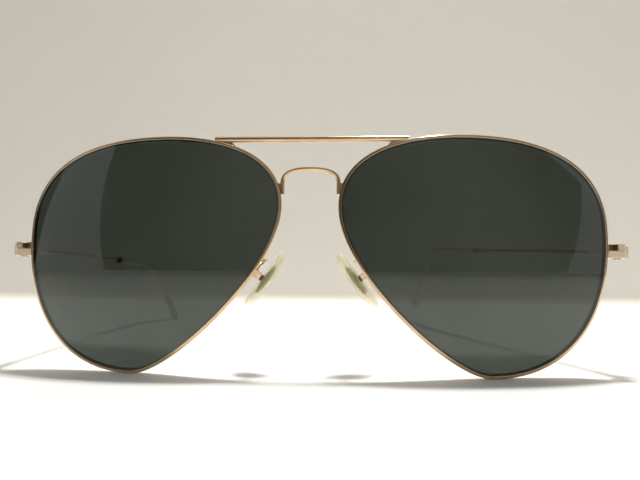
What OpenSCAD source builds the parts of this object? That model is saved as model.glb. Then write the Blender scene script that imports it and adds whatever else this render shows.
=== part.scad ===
// Metal aviator sunglasses, standing on their rims with both temples open.
// X runs across the front, towards the wearer's left. Y runs back along the temples. Z is up.
// The origin lies on the standing surface, under the bridge, level with the front of the lenses.
// Left and right are the wearer's own: the left side is +X.

/* [Lenses] */
// Width of a lens, measured on its box
lens_w = 62; // [54:1:72]
// Depth of a lens, measured on its box
lens_h = 54.6; // [46:0.2:62]
// Thickness of the glass
lens_t = 2; // [1.6:0.1:2.4]
// Radius of the front surface
lens_curve = 88; // [70:1:140]
// Shortest distance between the two lenses, over the nose
lens_gap = 14.6; // [12:0.2:20]
// Angle that each lens turns back at its outer side
wrap_angle = 6.4; // [0:0.2:10]
// Where the top of the outline lies, from the middle of the box towards the temple
crown_u = -2.5; // [-6:0.5:6]
// Where the lowest point of the outline lies, from the middle of the box towards the temple
chin_u = 3; // [-6:0.5:6]
// How high the widest point on the temple side lies, from the middle of the box
temple_v = 7; // [2:0.5:10]
// How high the widest point on the nose side lies, from the middle of the box
nose_v = 10.5; // [6:0.5:14]

/* [Rims] */
// Width of the rim wire, seen from the front, outside the lens edge
rim_out = 0.35; // [0.3:0.05:0.8]
// Depth of the groove that holds the lens
groove = 0.45; // [0.3:0.05:0.8]
// Depth of the rim wire, front to back
rim_depth = 2.1; // [1.8:0.1:2.6]
// Width of the groove where it opens
groove_w = 1.3; // [1:0.1:1.5]
// Angle that the front leans back as it stands
front_lean = 2.7; // [0:0.1:6]
// Height of the cut that lets the lens in, above the middle of the lens box
lock_v = 1.3; // [-4:0.1:5]
// Gap left in the cut when the lock is screwed up
lock_gap = 0.1; // [0.05:0.05:0.3]

/* [Brow bar and bridge] */
// Diameter of the brow bar
bar_d = 1.4; // [1:0.05:2]
// Length of the brow bar
bar_len = 45.2; // [36:0.2:50]
// How far the middle of the brow bar lies below the tops of the lens boxes
bar_drop = 0.5; // [0.3:0.1:2.4]
// How far the webs under the brow bar reach in from its ends
web_len = 5; // [3:0.5:7]
// Thickness of the bridge wire, seen from the front
bridge_t = 1; // [0.7:0.05:1.4]
// Depth of the bridge wire, front to back
bridge_depth = 1.4; // [1:0.1:1.8]
// Height of the lower ends of the bridge, above the middle of the lens boxes
bridge_foot = 13.6; // [11:0.2:15]
// Height where the bridge leaves the rims
bridge_spring = 16.3; // [15:0.2:18]
// Height of the top of the bridge, to the middle of its wire
bridge_top = 19.65; // [18:0.2:21]
// Thickness of the plates that fill the corners under the bar and beside the bridge
web_t = 1; // [0.6:0.1:1.2]
// How deep brazed pieces reach into each other
braze = 0.08; // [0.04:0.01:0.12]

/* [Rim locks] */
// Length of a lock block, outwards from the rim
lock_len = 4; // [3.8:0.1:5]
// Depth of a lock block, front to back
lock_depth = 3; // [2.8:0.1:3.6]
// Height of the lower lock block
lock_low_h = 1.6; // [1.5:0.05:2.4]
// Height of the upper lock block
lock_high_h = 1.55; // [1.3:0.05:2.2]
// Diameter of the lock screw
lock_screw_d = 1.2; // [1:0.1:1.4]
// Diameter of the lock screw's head
lock_head_d = 2; // [1.8:0.1:2.2]
// Height of the lock screw's head
lock_head_h = 0.6; // [0.4:0.1:0.8]

/* [Hinges] */
// Distance from the outer edge of the rim to the hinge pin, outwards
pin_out = 2; // [1.8:0.1:3]
// Distance from the back of the lock block to the hinge pin
pin_back = 2.8; // [2.6:0.1:3.4]
// Diameter of the hinge screw
pin_d = 1.2; // [1:0.1:1.3]
// Diameter of the hinge screw's head
pin_head_d = 1.8; // [1.6:0.1:2.2]
// Height of the hinge screw's head
pin_head_h = 0.5; // [0.4:0.1:0.8]
// Diameter of the hinge knuckles
knuckle_d = 2.2; // [2:0.1:2.4]
// Height of the three knuckles together
knuckle_h = 3; // [2.4:0.1:3.6]
// Gap between two knuckles
knuckle_gap = 0.06; // [0.04:0.01:0.1]
// Running clearance round the hinge screw, on the radius
pin_fit = 0.04; // [0.02:0.01:0.08]
// Clearance of pieces that stay put, on the radius
still_fit = 0.02; // [0.01:0.01:0.04]
// Width of the plate that stops the temple against the lock block
butt_w = 2.4; // [2.2:0.1:3.4]
// Thickness of that plate
butt_t = 1.1; // [0.8:0.1:1.4]
// Gap between that plate and the lock block with the temple straight back
butt_gap = 0.5; // [0.4:0.05:0.7]

/* [Temples] */
// Length of a temple along its wire, from the pin to the tip
temple_len = 140; // [125:1:150]
// Diameter of the temple wire
wire_d = 1.1; // [0.9:0.05:1.4]
// Distance from the pin to the start of the tip cover
cover_start = 66; // [60:1:72]
// Length of the collar in front of the tip cover
collar_len = 1.2; // [0.8:0.1:2]
// Diameter of the collar
collar_d = 2.4; // [2.2:0.1:3]
// Distance from the pin to the start of the ear bend
bend_start = 93.5; // [84:0.5:100]
// Radius of the ear bend
bend_radius = 28; // [18:1:34]
// Angle of the ear bend
bend_angle = 48; // [30:1:56]
// Angle that the right temple stands open, outwards from straight back
right_splay = 5; // [-10:0.5:5.5]
// Angle that the left temple stands open, outwards from straight back; below 0 it is part folded
left_splay = -15.3; // [-25:0.1:5]
// Angle that the left temple is bent up beside the right one
left_lift = 3.4; // [0:0.1:4]
// Angle that the right ear bend is turned inwards
right_hook = 16; // [-10:1:20]
// Angle that the left ear bend is turned inwards
left_hook = -7; // [-10:1:20]

/* [Tip covers] */
// Diameter of the cover where it starts
cover_d = 2; // [1.8:0.1:2.4]
// Diameter of the cover where the ear bend starts
cover_mid_d = 2.4; // [2:0.1:3]
// Height of the paddle at the end of the cover
paddle_h = 4; // [3:0.1:5]
// Thickness of the paddle, side to side
paddle_t = 3; // [2.2:0.1:3.4]
// Length over which the end of the cover rounds off
tip_round = 2.6; // [1.6:0.1:4]
// Length of the cover past the end of the wire inside it
wire_short = 6; // [4:0.5:10]
// Height of the wire where it is pressed flat inside the cover
wire_flat_h = 1.8; // [1.2:0.1:2]
// Thickness of the wire where it is pressed flat
wire_flat_t = 0.6; // [0.5:0.1:0.9]
// Clearance between the wire and the cover
cover_fit = 0.04; // [0.02:0.01:0.06]

/* [Nose pads] */
// Length of a nose pad
pad_len = 15.4; // [13:0.2:17]
// Width of a nose pad, front to back
pad_w = 7; // [6:0.2:8]
// Thickness of a nose pad at its middle
pad_t = 2.5; // [2:0.1:2.8]
// Distance from the middle of the nose to the middle of a pad
pad_x = 10.8; // [10:0.1:14]
// Distance from the front of the lenses back to the middle of a pad
pad_y = 8.6; // [8:0.1:11]
// How far the middle of a pad lies below the middle of the lens boxes
pad_drop = 5.8; // [3:0.1:8]
// Angle that a pad leans out towards its lower end
pad_lean = 36; // [28:1:42]
// Angle that a pad opens out towards the face
pad_splay = 12; // [4:1:20]
// Distance from the middle of a pad out to its rocking screw
pad_pivot = 1.9; // [1.8:0.1:2.4]
// How far the rocking screw lies below the middle of the pad
pivot_drop = 0.2; // [0:0.1:1.2]
// Diameter of the pad screw
pad_screw_d = 0.8; // [0.7:0.05:1]
// Diameter of the pad screw's head
pad_head_d = 1.3; // [1.2:0.1:1.5]
// Length of the metal insert in a pad
insert_len = 7; // [5:0.2:8]
// Width of the metal insert in a pad
insert_w = 3.4; // [2.4:0.1:3.6]
// Thickness of the metal insert in a pad
insert_t = 0.6; // [0.4:0.05:0.7]
// Thickness of the lug that stands on the insert
lug_t = 1.1; // [0.9:0.1:1.3]
// Length of the pad box along the pad
box_len = 1.7; // [1.4:0.1:1.8]
// Thickness of the cheeks and the back of the pad box
box_wall = 0.5; // [0.4:0.05:0.6]
// Gap between the lug and a cheek of its box
lug_gap = 0.1; // [0.06:0.01:0.15]
// Diameter of the pad arm
arm_d = 0.9; // [0.7:0.05:1.1]
// How far the pad arm loops back from the rim
arm_reach = 6; // [4:0.5:8]

/* [Hidden] */
$fn = 40;

right = -1;
left = 1;
gold = [0.83, 0.64, 0.38];
steel = [0.72, 0.70, 0.66];
glass = [0.20, 0.24, 0.21, 0.8];
horn = [0.90, 0.88, 0.68, 0.7];
eps = 0.01;           // cutters reach past a face by this much
least_round = 0.01;   // keeps the last slice of a rounded end from shrinking to a point

// ---- Lens outline: four curves between the extremes of the box ----
// Each row gives how far a quarter's two handles reach, as shares of its width and height.
// The quarters run crown to temple, temple to chin, chin to nose, nose to crown.
handle_share = [[0.615, 0.724], [0.672, 0.590], [0.274, 0.422], [0.604, 0.700]];
half_w = lens_w / 2;
half_h = lens_h / 2;
extremes = [[crown_u, half_h], [half_w, temple_v], [chin_u, -half_h], [-half_w, nose_v]];
lens_x = lens_gap / 2 + half_w;

function mix(a, b, t) = a + (b - a) * t;
function corner(a, b, k) = k % 2 == 0 ? [b[0], a[1]] : [a[0], b[1]];
function handles(k) =
    let (a = extremes[k], b = extremes[(k + 1) % 4], c = corner(a, b, k))
    [a, mix(a, c, handle_share[k][0]), mix(b, c, handle_share[k][1]), b];
function bezier(p, t) =
    pow(1 - t, 3) * p[0] + 3 * t * pow(1 - t, 2) * p[1] + 3 * t * t * (1 - t) * p[2] + pow(t, 3) * p[3];
function bezier_slope(p, t) =
    pow(1 - t, 2) * (p[1] - p[0]) + 2 * t * (1 - t) * (p[2] - p[1]) + t * t * (p[3] - p[2]);
function quarter(s) = min(3, floor(s));
// The point of the outline at s, from 0 to 4, moved outwards by r.
function outline(s, r = 0) =
    let (k = quarter(s), p = handles(k), d = bezier_slope(p, s - k), n = norm(d))
    bezier(p, s - k) + r * [-d[1], d[0]] / n;
// The place between lo and hi where coordinate c of the outline passes the value v.
function crossing(v, c, lo, hi, steps = 24) =
    steps == 0 ? (lo + hi) / 2 :
    let (m = (lo + hi) / 2, rising = outline(hi)[c] > outline(lo)[c])
    (outline(m)[c] < v) == rising ? crossing(v, c, m, hi, steps - 1) : crossing(v, c, lo, m, steps - 1);

// ---- Frames: lens frame, front frame, and the row's own frame ----
// A point on the lens at u, v, lying n behind the front surface, in the lens frame.
function on_lens(uv, n) =
    let (
        sag = lens_curve - sqrt(lens_curve * lens_curve - uv * uv),
        centre = [0, lens_curve, 0]
    )
    centre + ([uv[0], sag, uv[1]] - centre) * (lens_curve - n) / lens_curve;
// The same point in the front frame, on the left side.
function lens_to_front(p) = [
    lens_x + p[0] * cos(wrap_angle) - p[1] * sin(wrap_angle),
    p[0] * sin(wrap_angle) + p[1] * cos(wrap_angle),
    p[2]
];
function rim_point(s, r, n) = lens_to_front(on_lens(outline(s, r), n));
function lean_back(p) = [
    p[0],
    p[1] * cos(front_lean) + p[2] * sin(front_lean),
    -p[1] * sin(front_lean) + p[2] * cos(front_lean)
];

rim_near = (lens_t - rim_depth) / 2;
rim_far = rim_near + rim_depth;
rim_mid = lens_t / 2;

module on_side(side) {
    mirror([side < 0 ? 1 : 0, 0, 0]) children();
}
module front_frame(side) {
    translate([0, 0, stand_z]) rotate([-front_lean, 0, 0]) on_side(side) children();
}
module lens_frame(side) {
    front_frame(side) translate([lens_x, 0, 0]) rotate([0, 0, wrap_angle]) children();
}

// ---- A skin over a row of rings, each with the same number of points ----
module skin(rings) {
    m = len(rings[0]);
    last = len(rings) - 1;
    polyhedron(
        points = [for (ring = rings) for (p = ring) p],
        faces = concat(
            [for (j = [1:m - 2]) [0, j, j + 1]],
            [for (i = [0:last - 1], j = [0:m - 1], half = [0, 1])
                let (a = i * m + j, b = i * m + (j + 1) % m)
                half == 0 ? [a, a + m, b + m] : [a, b + m, b]],
            [for (j = [1:m - 2]) [last * m, last * m + j + 1, last * m + j]]
        )
    );
}
// An oval ring of n points round c, across the direction t, with half sizes a along side and b.
function oval(c, t, side, a, b, n) =
    let (up = cross(t, side))
    [for (j = [0:n - 1]) c + a * cos(360 * j / n) * side + b * sin(360 * j / n) * up];

// ---- Lenses and rims ----
lock_s = crossing(lock_v, 1, 1, 2);
cut_top = crossing(lock_v + lock_gap / 2, 1, 1, 2);
cut_low = crossing(lock_v - lock_gap / 2, 1, 1, 2);
rim_edge_r = 0.15;    // the outer corners of the rim wire are broken by this much

// The rim wire's section as [depth, outwards] pairs, from the bottom of the groove.
rim_section = [
    [rim_mid, 0],
    [rim_mid - groove_w / 2, -groove],
    [rim_near, -groove],
    [rim_near, rim_out - rim_edge_r],
    [rim_near + rim_edge_r, rim_out],
    [rim_far - rim_edge_r, rim_out],
    [rim_far, rim_out - rim_edge_r],
    [rim_far, -groove],
    [rim_mid + groove_w / 2, -groove]
];
function reversed(list) = [for (i = [len(list) - 1:-1:0]) list[i]];
rim_steps = 96;
function rim_station(i) = let (run = mix(cut_low, cut_top + 4, i / rim_steps)) run > 4 ? run - 4 : run;

// The standing surface touches the lowest points of the two rims.
stand_z = -min([for (i = [0:rim_steps], q = rim_section)
    lean_back(rim_point(rim_station(i), q[1], q[0]))[2]]);
function front_to_row(p) = lean_back(p) + [0, 0, stand_z];

module rim(side) {
    color(gold) lens_frame(side) skin([
        for (i = [0:rim_steps])
            [for (q = reversed(rim_section)) on_lens(outline(rim_station(i), q[1]), q[0])]
    ]);
}

lens_fit = 0.04;      // gap between the bevel of the lens and the groove
lens_rings = 5;
lens_steps = 84;
lens_heart = 0.02;    // size of the innermost ring, as a share of one ring's step
bevel_half = (groove_w / 2 - lens_fit) * 0.9;
function lens_loop(share, r, n) =
    [for (i = [0:lens_steps - 1]) on_lens(outline(4 * i / lens_steps, r) * share, n)];
module lens(side) {
    edge = -groove - lens_fit;
    color(glass) lens_frame(side) skin(concat(
        [for (k = [0:lens_rings]) lens_loop(max(k, lens_heart) / lens_rings, edge, 0)],
        [lens_loop(1, edge, rim_mid - bevel_half)],
        [lens_loop(1, -lens_fit, rim_mid)],
        [lens_loop(1, edge, rim_mid + bevel_half)],
        [for (k = [lens_rings:-1:0]) lens_loop(max(k, lens_heart) / lens_rings, edge, lens_t)]
    ));
}

// ---- Brow bar and bridge ----
bar_z = half_h - bar_drop;
bar_seat_s = crossing((bar_len / 2 - lens_x) / cos(wrap_angle), 0, 3, 4);
bar_y = rim_point(bar_seat_s, rim_out, rim_mid)[1];
web_in_s = crossing((bar_len / 2 - web_len - lens_x) / cos(wrap_angle), 0, 3, 4);
web_points = 6;
web_start = 1;        // the webs start this far in from the ends of the bar
web_taper = 1.8;      // and their inner ends slope over this length

// The rim's outer edge from s0 to s1, seen from the front, sunk by the depth of the braze.
function brazed_edge(s0, s1) = [for (i = [0:web_points - 1])
    let (p = rim_point(mix(s0, s1, i / (web_points - 1)), rim_out - braze, rim_mid)) [p[0], p[2]]];

// A plate between the points above and the rim's outer edge from s0 to s1.
module web(points, s0, s1, y) {
    translate([0, y + web_t / 2, 0]) rotate([90, 0, 0]) linear_extrude(web_t)
        polygon(concat(points, brazed_edge(s0, s1)));
}

// The ends of the bar are scarfed underneath, where it runs out along the tops of the rims.
module brow_bar() {
    reach = bar_len / 2;
    past_s = crossing((reach + bar_d - lens_x) / cos(wrap_angle), 0, 3, 4);
    color(gold) {
        front_frame(left) difference() {
            translate([-reach, bar_y, bar_z]) rotate([0, 90, 0]) cylinder(d = bar_d, h = bar_len);
            for (side = [right, left])
                on_side(side) translate([0, bar_y + bar_d, 0]) rotate([90, 0, 0]) linear_extrude(2 * bar_d)
                    polygon(concat(
                        [[reach + bar_d, 0], [reach - web_len, 0]],
                        brazed_edge(web_in_s, past_s)
                    ));
        }
        for (side = [right, left])
            front_frame(side) web(
                [[reach - web_start, bar_z], [reach - web_len + web_taper, bar_z]],
                web_in_s, bar_seat_s, bar_y
            );
    }
}

foot_s = crossing(bridge_foot, 1, 3, 4);
spring_s = crossing(bridge_spring, 1, 3, 4);
bridge_y = rim_point(foot_s, rim_out, rim_mid)[1];
bridge_half = rim_point(foot_s, rim_out, rim_mid)[0] + braze - bridge_t / 2;
bridge_square = 2.5;  // how square the shoulders are: 2 would be an ellipse
bridge_knee = mix(bridge_foot, bridge_spring, 0.6);
bridge_sides = 10;
bridge_steps = 28;
// The middle of the bridge wire, for a turn from 0 at the right foot to 1 at the left one.
function arch(a) =
    let (c = cos(a), s = sin(a), p = 2 / bridge_square)
    [-sign(c) * bridge_half * pow(abs(c), p), bridge_y,
        bridge_spring + (bridge_top - bridge_spring) * pow(s, p)];
function bridge_path() = concat(
    [[-bridge_half, bridge_y, bridge_foot], [-bridge_half, bridge_y, bridge_knee]],
    [for (i = [0:bridge_steps]) arch(180 * i / bridge_steps)],
    [[bridge_half, bridge_y, bridge_knee], [bridge_half, bridge_y, bridge_foot]]
);
function heading(path, i) =
    let (d = path[min(i + 1, len(path) - 1)] - path[max(i - 1, 0)]) d / norm(d);

module bridge() {
    path = bridge_path();
    color(gold) {
        front_frame(left) skin([for (i = [0:len(path) - 1])
            oval(path[i], heading(path, i), [0, 1, 0], bridge_depth / 2, bridge_t / 2, bridge_sides)]);
        for (side = [right, left])
            front_frame(side) web(
                [[bridge_half, bridge_spring], [bridge_half, bridge_foot]],
                foot_s, spring_s, bridge_y
            );
    }
}

// ---- Rim locks ----
lock_near = rim_point(lock_s, rim_out, rim_near);
lock_far = rim_point(lock_s, rim_out, rim_far);
lock_proud = 0.1;     // the blocks stand this far in front of the rim
lock_front = lock_near[1] - lock_proud;
lock_back = lock_front + lock_depth;
lock_outer = lock_near[0] + lock_len;
lock_corner = 0.5;    // the outer corners of the blocks are cut off by this much
lock_scoop = 1.6;     // the upper block is hollowed beside the rim over this length
scoop_slope = 0.5;    // depth of that hollow as a share of its length
scoop_end = 0.6;      // length over which the hollow runs back to the front
lock_roof = 0.3;      // metal left over the end of the screw hole
thread_share = 0.6;   // how far the lock screw reaches into the upper block, as a share of it
lock_screw_x = lock_outer - lock_len * 0.45;
lock_screw_y = mix(lock_front, lock_back, 0.5);
screw_slot = 0.3;     // width of a screwdriver slot
slot_share = 0.45;    // depth of a slot as a share of its head

module lock_plan(scoop) {
    polygon([
        [lock_near[0] - braze, lock_near[1]],
        [lock_near[0] + scoop, lock_front + scoop * scoop_slope],
        [lock_near[0] + scoop + scoop_end, lock_front],
        [lock_outer - lock_corner, lock_front],
        [lock_outer, lock_front + lock_corner],
        [lock_outer, lock_back - lock_corner],
        [lock_outer - lock_corner, lock_back],
        [lock_far[0] - braze, lock_back],
        [lock_far[0] - braze, lock_far[1]]
    ]);
}
module lock_upper(side) {
    color(gold) front_frame(side) difference() {
        translate([0, 0, lock_v + lock_gap / 2]) linear_extrude(lock_high_h) lock_plan(lock_scoop);
        translate([lock_screw_x, lock_screw_y, lock_v])
            cylinder(r = lock_screw_d / 2 + still_fit, h = lock_high_h - lock_roof);
    }
}
lock_bottom = lock_v - lock_gap / 2 - lock_low_h;
head_sink = lock_head_h / 2;
module lock_lower(side) {
    color(gold) front_frame(side) difference() {
        translate([0, 0, lock_bottom]) linear_extrude(lock_low_h) lock_plan(0);
        translate([lock_screw_x, lock_screw_y, lock_bottom - eps]) {
            cylinder(r = lock_screw_d / 2 + pin_fit, h = lock_low_h + 2 * eps);
            cylinder(r = lock_head_d / 2 + still_fit, h = head_sink + still_fit);
        }
    }
}
module lock_screw(side) {
    color(steel) front_frame(side) translate([lock_screw_x, lock_screw_y, lock_bottom + head_sink]) {
        cylinder(d = lock_screw_d, h = lock_low_h - head_sink + lock_gap + lock_high_h * thread_share);
        difference() {
            translate([0, 0, -lock_head_h]) cylinder(d = lock_head_d, h = lock_head_h);
            translate([-lock_head_d, -screw_slot / 2, -lock_head_h - eps])
                cube([2 * lock_head_d, screw_slot, lock_head_h * slot_share]);
        }
    }
}

// ---- Hinges ----
hinge_x = lock_near[0] + pin_out;
hinge_y = lock_back + pin_back;
hinge_z = lock_v;
one_knuckle = (knuckle_h - 2 * knuckle_gap) / 3;
leaf_t = 0.8;         // thickness of the leaf on the back of the upper lock block
leaf_gap = 0.1;       // the leaf stands this far off the lower block, which comes away with its screw

module hinge_frame(side) {
    front_frame(side) translate([hinge_x, hinge_y, hinge_z]) children();
}
module front_hinge(side) {
    color(gold) hinge_frame(side) difference() {
        union() {
            for (z = [-knuckle_h / 2, knuckle_h / 2 - one_knuckle]) {
                translate([0, 0, z]) cylinder(d = knuckle_d, h = one_knuckle);
                translate([-knuckle_d / 2, leaf_gap - pin_back, z])
                    cube([knuckle_d, pin_back - leaf_gap, one_knuckle]);
            }
            translate([-knuckle_d / 2, leaf_gap - pin_back, -knuckle_h / 2])
                cube([knuckle_d, leaf_t, knuckle_h]);
            translate([-knuckle_d / 2, -pin_back - braze, lock_gap / 2])
                cube([knuckle_d, leaf_t, knuckle_h / 2 - lock_gap / 2]);
        }
        translate([0, 0, -knuckle_h / 2 - eps]) cylinder(r = pin_d / 2 + still_fit, h = knuckle_h + 2 * eps);
    }
}
module hinge_screw(side) {
    color(steel) hinge_frame(side) {
        translate([0, 0, -knuckle_h / 2]) cylinder(d = pin_d, h = knuckle_h + still_fit);
        difference() {
            translate([0, 0, knuckle_h / 2 + still_fit]) cylinder(d = pin_head_d, h = pin_head_h);
            translate([-pin_head_d, -screw_slot / 2, knuckle_h / 2 + pin_head_h * (1 - slot_share)])
                cube([2 * pin_head_d, screw_slot, pin_head_h]);
        }
    }
}

// ---- Temples ----
// The ear bend lies in a plane through the straight part, and its points are [along, drop].
bend_len = bend_radius * bend_angle * PI / 180;
function bend_turn(s) = min(max((s - bend_start) / bend_len, 0), 1) * bend_angle;
function temple_plane(s) =
    let (a = bend_turn(s), rest = max(s - bend_start - bend_len, 0))
    [
        min(s, bend_start) + bend_radius * sin(a) + rest * cos(bend_angle),
        bend_radius * (1 - cos(a)) + rest * sin(bend_angle)
    ];
// The same in the temple's frame: x outwards, y back, z up, with the bend turned inwards by hook.
function temple_point(s, hook) =
    let (q = temple_plane(s)) [-q[1] * sin(hook), q[0], -q[1] * cos(hook)];
function temple_heading(s, hook) =
    let (a = bend_turn(s)) [-sin(a) * sin(hook), cos(a), -sin(a) * cos(hook)];
function temple_side(hook) = [cos(hook), 0, -sin(hook)];

function eased(x) = let (t = min(max(x, 0), 1)) t * t * (3 - 2 * t);
paddle_s = temple_len - 13;   // the paddle has its full size from here on
function cover_half(s, end) =
    let (
        early = mix(cover_d / 2, cover_mid_d / 2, eased((s - cover_start) / (bend_start - cover_start))),
        late = mix(early, end, eased((s - bend_start) / (paddle_s - bend_start))),
        t = max(s - temple_len + tip_round, 0) / tip_round
    )
    late * sqrt(max(1 - t * t, least_round));
flat_s = bend_start + bend_len;
function core_half(s, end) = mix(wire_d / 2, end, eased((s - bend_start) / (flat_s - bend_start)));

function cover_ring(s, hook) = oval(
    temple_point(s, hook), temple_heading(s, hook), temple_side(hook),
    cover_half(s, paddle_t / 2), cover_half(s, paddle_h / 2), 12
);
function core_ring(s, hook, gap) = oval(
    temple_point(s, hook), temple_heading(s, hook), temple_side(hook),
    core_half(s, wire_flat_t / 2) + gap, core_half(s, wire_flat_h / 2) + gap, 12
);

function turned_up(p, a) = [p[0], p[1] * cos(a) - p[2] * sin(a), p[1] * sin(a) + p[2] * cos(a)];
function turned_out(p, a) = [p[0] * cos(a) + p[1] * sin(a), -p[0] * sin(a) + p[1] * cos(a), p[2]];

// The right temple droops from the hinge until its tip lies on the standing surface.
pin_height = front_to_row([hinge_x, hinge_y, hinge_z])[2];
tip_plane = temple_plane(temple_len - tip_round);
tip_slices = [for (a = [0:15:90]) temple_len - tip_round + tip_round * sin(a)];
function tip_depth(droop) = max([for (s = tip_slices) for (p = cover_ring(s, right_hook))
    -lean_back(turned_out(turned_up(p, front_lean - droop), right_splay))[2]]);
function settled(droop, rounds) =
    rounds == 0 ? droop :
    settled(droop + asin((pin_height - tip_depth(droop)) / norm(tip_plane)), rounds - 1);
right_droop = settled(0, 6);

function splay(side) = side < 0 ? right_splay : left_splay;
function hook(side) = side < 0 ? right_hook : left_hook;
function droop(side) = side < 0 ? right_droop : right_droop - left_lift;

module swung(side) {
    hinge_frame(side) rotate([0, 0, -splay(side)]) children();
}
module temple_frame(side) {
    swung(side) rotate([front_lean - droop(side), 0, 0]) children();
}

socket_start = 1.7;   // the socket for the wire starts this far behind the pin
socket_len = 4.5;
socket_wall = 0.45;
socket_floor = 0.8;   // metal between the start of the socket and the end of the wire
wire_start = socket_start + socket_floor;
stem_slim = 0.2;      // the stem from the middle knuckle to the socket is slimmer by this on each side
stem_lap = 0.4;       // and it runs this far into the socket
post_in = knuckle_d / 2 + 0.6;
post_w = 1.2;         // the post beside the knuckles, which carries the stop plate
post_back = 1.2;      // it ends this far behind the pin
link_front = 0.2;     // the link from knuckle to post starts this far in front of the pin
link_lap = 0.5;       // and it runs this far into the post
stop_h = knuckle_h - 0.2;
stop_front = -pin_back + butt_gap;

module temple_hinge(side) {
    color(gold) {
        swung(side) difference() {
            union() {
                translate([0, 0, -one_knuckle / 2]) cylinder(d = knuckle_d, h = one_knuckle);
                translate([-knuckle_d / 2 + stem_slim, 0, -one_knuckle / 2])
                    cube([knuckle_d - 2 * stem_slim, socket_start + stem_lap, one_knuckle]);
                translate([0, -link_front, -one_knuckle / 2])
                    cube([post_in + link_lap, post_back + link_front, one_knuckle]);
                translate([post_in, stop_front, -stop_h / 2]) cube([butt_w, butt_t, stop_h]);
                translate([post_in, stop_front, -stop_h / 2]) cube([post_w, post_back - stop_front, stop_h]);
            }
            translate([0, 0, -one_knuckle]) cylinder(r = pin_d / 2 + pin_fit, h = 2 * one_knuckle);
        }
        temple_frame(side) translate([0, socket_start, 0]) rotate([-90, 0, 0]) difference() {
            cylinder(r = wire_d / 2 + socket_wall, h = socket_len);
            translate([0, 0, socket_floor - still_fit]) cylinder(r = wire_d / 2 + still_fit, h = socket_len);
        }
    }
}

bend_steps = 14;
function stations(from, to) = concat(
    [from, mix(from, bend_start, 0.5)],
    [for (i = [0:bend_steps]) bend_start + bend_len * i / bend_steps],
    [for (i = [1:5]) mix(flat_s, to, i / 5)]
);
core_end = temple_len - wire_short;
module temple_wire(side) {
    color(gold) temple_frame(side)
        skin([for (s = stations(wire_start, core_end)) core_ring(s, hook(side), 0)]);
}
module temple_collar(side) {
    color(gold) temple_frame(side) translate([0, cover_start - collar_len, 0]) rotate([-90, 0, 0])
        difference() {
            cylinder(d = collar_d, h = collar_len - still_fit);
            translate([0, 0, -eps]) cylinder(r = wire_d / 2 + still_fit, h = collar_len + 2 * eps);
        }
}
module temple_tip(side) {
    bore = stations(cover_start, core_end + cover_fit);
    color(horn) temple_frame(side) skin(concat(
        [for (s = reversed(bore)) core_ring(s, hook(side), cover_fit)],
        [for (s = concat(stations(cover_start, temple_len - 2 * tip_round), tip_slices))
            cover_ring(s, hook(side))]
    ));
}

// ---- Nose pads ----
// The pad frame: x outwards through the pad, y back across it, z up along it.
pad_centre = [pad_x, pad_y, -pad_drop];
module pad_frame(side) {
    front_frame(side) translate(pad_centre) rotate([0, -pad_lean, 0]) rotate([0, 0, -pad_splay]) children();
}
function pad_to_front(p) =
    let (
        x = p[0] * cos(pad_splay) + p[1] * sin(pad_splay),
        y = -p[0] * sin(pad_splay) + p[1] * cos(pad_splay)
    )
    pad_centre + [x * cos(pad_lean) - p[2] * sin(pad_lean), y, x * sin(pad_lean) + p[2] * cos(pad_lean)];

pad_outer = 0.85;     // the pad's flat side lies this far outwards of its middle
pad_inner = pad_outer - pad_t;
pad_rings = 16;
pad_sides = 20;
pad_bow = 0.3;        // how far the ends of the pad curve away from the nose
// One slice across the pad at height z: rounded towards the nose, and nearly flat outside.
function pad_slice(z) =
    let (
        share = abs(2 * z / pad_len),
        wide = sqrt(max(1 - pow(share, 3), least_round)),
        crown = sqrt(max(1 - pow(share, 4), least_round)),
        blunt = sqrt(max(1 - pow(share, 8), least_round))
    )
    [for (j = [0:pad_sides - 1])
        let (c = cos(360 * j / pad_sides), s = sin(360 * j / pad_sides))
        [
            (c > 0 ? pad_outer * blunt * sqrt(c) : -pad_inner * crown * c) + pad_bow * share * share,
            pad_w / 2 * wide * s,
            z
        ]];
insert_sunk = 0.7;    // the insert lies this deep in the pad
pocket_in = pad_outer - insert_t - insert_sunk;
module nose_pad(side) {
    color(horn) pad_frame(side) difference() {
        skin([for (i = [0:pad_rings]) pad_slice(-pad_len / 2 * cos(180 * i / pad_rings))]);
        translate([pocket_in, -insert_w / 2 - still_fit, -insert_len / 2 - still_fit])
            cube([pad_t, insert_w + 2 * still_fit, insert_len + 2 * still_fit]);
    }
}
lug_len = box_len - 0.3;      // the lug is shorter than the box, so that the pad can rock
module pad_insert(side) {
    color(steel) pad_frame(side) difference() {
        union() {
            translate([pocket_in + still_fit, -insert_w / 2, -insert_len / 2])
                cube([insert_t, insert_w, insert_len]);
            translate([pocket_in + insert_t / 2, -lug_t / 2, -pivot_drop - lug_len / 2])
                cube([pad_pivot - pocket_in - insert_t / 2, lug_t, lug_len]);
            translate([pad_pivot, lug_t / 2, -pivot_drop]) rotate([90, 0, 0])
                cylinder(d = lug_len, h = lug_t);
        }
        translate([pad_pivot, lug_t, -pivot_drop]) rotate([90, 0, 0])
            cylinder(r = pad_screw_d / 2 + pin_fit, h = 2 * lug_t);
    }
}
box_in = lug_t / 2 + lug_gap;
box_out = box_in + box_wall;
box_front = pad_pivot - 0.6;
box_back = pad_pivot + lug_len / 2 + 0.15;      // clear of the rounded end of the lug
pad_head_h = 0.4;
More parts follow.
